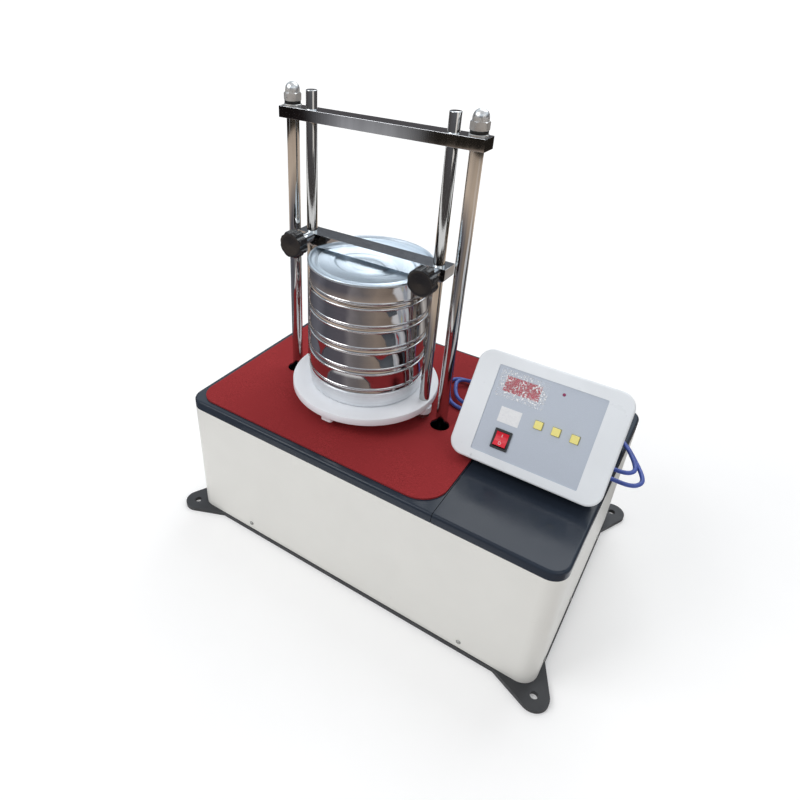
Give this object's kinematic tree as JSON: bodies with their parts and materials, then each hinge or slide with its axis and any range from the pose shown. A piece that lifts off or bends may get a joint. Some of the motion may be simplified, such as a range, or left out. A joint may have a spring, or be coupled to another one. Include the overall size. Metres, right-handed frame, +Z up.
{
  "type": "sieve shaker",
  "caption": "Laboratory sieve shaker: boxed drive with covers and mat, rods carrying a clamped stack of nested round sieves, lid and pan, and a tilted control box.",
  "frame": {"origin": "on the floor plane, at the centre of the four anchor ears of the base plate", "axes": "+X to the right along the long front, +Y from the front to the back, +Z up"},
  "size_m": [0.7794, 0.51, 0.7828],
  "materials": {
    "black_plastic": "satin",
    "black_rubber": "matte",
    "blue_cord": "matte",
    "bronze": "machined",
    "cast_grey": "cast",
    "charcoal_paint": "satin",
    "chrome": "polished",
    "cream_paint": "satin",
    "dark_gloss_paint": "gloss",
    "dark_red_window": "gloss",
    "green_board": "satin",
    "lamp_red": "gloss",
    "lid_steel": "satin",
    "light_plastic": "satin",
    "machine_steel": "machined",
    "pan_steel": "satin",
    "panel_grey": "matte",
    "plated_steel": "satin",
    "red_plastic": "gloss",
    "red_rubber": "matte",
    "stainless": "polished",
    "white_paint": "satin",
    "yellow_plastic": "gloss"
  },
  "bodies": {
    "base": {"base_plate": "charcoal_paint", "housing_shell": "cream_paint", "small_screws": "plated_steel", "cover_left": "dark_gloss_paint", "cover_right": "dark_gloss_paint", "mat": "red_rubber", "motor_body": "cast_grey", "drive_belt": "black_rubber", "gearbox": "cast_grey", "bearing_posts": "cast_grey", "box_bezel": "light_plastic", "box_shell": "black_plastic", "control_panel": "panel_grey", "display_window": "dark_red_window", "indicator_lamp": "lamp_red", "switch_body": "black_plastic", "circuit_board": "green_board", "box_bracket": "charcoal_paint", "cable_gland": "black_plastic", "cord_lead": "blue_cord", "cord_coil": "blue_cord", "cord_tail": "blue_cord", "plug": "black_plastic"},
    "main_crank": {"crank_shaft": "machine_steel", "crank_pulley": "cast_grey"},
    "idler_front": {"idler_crank_front": "machine_steel"},
    "idler_rear": {"idler_crank_rear": "machine_steel"},
    "motor_rotor": {"motor_spindle": "machine_steel"},
    "carriage": {"carriage_plate": "machine_steel", "crank_bushes": "bronze", "tappet_guide": "machine_steel", "outer_columns": "chrome", "column_nuts": "plated_steel", "top_bar": "chrome", "cap_nuts": "plated_steel"},
    "table": {"table_plate": "white_paint", "table_frame": "white_paint", "inner_rods": "chrome", "table_fasteners": "plated_steel", "tappet_shaft": "machine_steel"},
    "cam": {"tapping_cam": "machine_steel"},
    "pan": {"pan": "pan_steel"},
    "sieve_1": {"sieve_1": "stainless"},
    "sieve_2": {"sieve_2": "stainless"},
    "sieve_3": {"sieve_3": "stainless"},
    "sieve_4": {"sieve_4": "stainless"},
    "sieve_5": {"sieve_5": "stainless"},
    "lid": {"lid": "lid_steel"},
    "clamp_bar": {"clamp_bar": "machine_steel"},
    "knob_left": {"clamp_knob_left": "black_plastic"},
    "knob_right": {"clamp_knob_right": "black_plastic"},
    "button_1": {"button_1": "yellow_plastic"},
    "button_2": {"button_2": "yellow_plastic"},
    "button_3": {"button_3": "yellow_plastic"},
    "rocker": {"switch_rocker": "red_plastic"}
  },
  "joints": [
    {"name": "crank_spin", "type": "hinge", "parent": "base", "child": "main_crank", "pos_m": [0.016, -0.031, 0.12], "axis": [0, 0, 1], "continuous": true},
    {"name": "idler_front_spin", "type": "hinge", "parent": "base", "child": "idler_front", "pos_m": [-0.199, -0.106, 0.12], "axis": [0, 0, 1], "continuous": true},
    {"name": "idler_rear_spin", "type": "hinge", "parent": "base", "child": "idler_rear", "pos_m": [-0.199, 0.044, 0.12], "axis": [0, 0, 1], "continuous": true},
    {"name": "motor_spin", "type": "hinge", "parent": "base", "child": "motor_rotor", "pos_m": [0.236, -0.031, 0.12], "axis": [0, 0, 1], "continuous": true},
    {"name": "carriage_turn", "type": "hinge", "parent": "main_crank", "child": "carriage", "pos_m": [0.016, -0.027, 0.2], "axis": [0, 0, 1], "continuous": true},
    {"name": "table_lift", "type": "slide", "parent": "carriage", "child": "table", "axis": [0, 0, 1], "range_m": [0, 0.005]},
    {"name": "cam_turn", "type": "hinge", "parent": "base", "child": "cam", "pos_m": [-0.094, -0.027, 0.056], "axis": [-1, 0, 0], "range_deg": [0, 300]},
    {"name": "pan_lift", "type": "slide", "parent": "table", "child": "pan", "axis": [0, 0, 1], "range_m": [0, 0.01]},
    {"name": "sieve_1_lift", "type": "slide", "parent": "pan", "child": "sieve_1", "axis": [0, 0, 1], "range_m": [0, 0.014]},
    {"name": "sieve_2_lift", "type": "slide", "parent": "sieve_1", "child": "sieve_2", "axis": [0, 0, 1], "range_m": [0, 0.014]},
    {"name": "sieve_3_lift", "type": "slide", "parent": "sieve_2", "child": "sieve_3", "axis": [0, 0, 1], "range_m": [0, 0.014]},
    {"name": "sieve_4_lift", "type": "slide", "parent": "sieve_3", "child": "sieve_4", "axis": [0, 0, 1], "range_m": [0, 0.014]},
    {"name": "sieve_5_lift", "type": "slide", "parent": "sieve_4", "child": "sieve_5", "axis": [0, 0, 1], "range_m": [0, 0.014]},
    {"name": "lid_lift", "type": "slide", "parent": "sieve_5", "child": "lid", "axis": [0, 0, 1], "range_m": [0, 0.014]},
    {"name": "clamp_slide", "type": "slide", "parent": "lid", "child": "clamp_bar", "axis": [0, 0, 1], "range_m": [0, 0.075]},
    {"name": "knob_left_turn", "type": "hinge", "parent": "clamp_bar", "child": "knob_left", "pos_m": [-0.215, -0.068, 0.5473], "axis": [0, -1, 0], "range_deg": [0, 360]},
    {"name": "knob_right_turn", "type": "hinge", "parent": "clamp_bar", "child": "knob_right", "pos_m": [0.027, -0.068, 0.5473], "axis": [0, -1, 0], "range_deg": [0, 360]},
    {"name": "button_1_press", "type": "slide", "parent": "base", "child": "button_1", "axis": [0, 0.8339, -0.5519], "range_m": [0, 0.0012], "stiffness_N_per_m": 300, "springref_m": -0.001},
    {"name": "button_2_press", "type": "slide", "parent": "base", "child": "button_2", "axis": [0, 0.8339, -0.5519], "range_m": [0, 0.0012], "stiffness_N_per_m": 300, "springref_m": -0.001},
    {"name": "button_3_press", "type": "slide", "parent": "base", "child": "button_3", "axis": [0, 0.8339, -0.5519], "range_m": [0, 0.0012], "stiffness_N_per_m": 300, "springref_m": -0.001},
    {"name": "rocker_tip", "type": "hinge", "parent": "base", "child": "rocker", "pos_m": [0.1865, -0.07215, 0.31926], "axis": [1, 0, 0], "range_deg": [0, 18]}
  ],
  "couplings": [
    {"joint": "idler_front_spin", "follows": "crank_spin", "ratio": 1},
    {"joint": "idler_rear_spin", "follows": "crank_spin", "ratio": 1},
    {"joint": "motor_spin", "follows": "crank_spin", "ratio": 6.336},
    {"joint": "carriage_turn", "follows": "crank_spin", "ratio": -1},
    {"joint": "cam_turn", "follows": "table_lift", "rad_per_m": 1047.2}
  ]
}
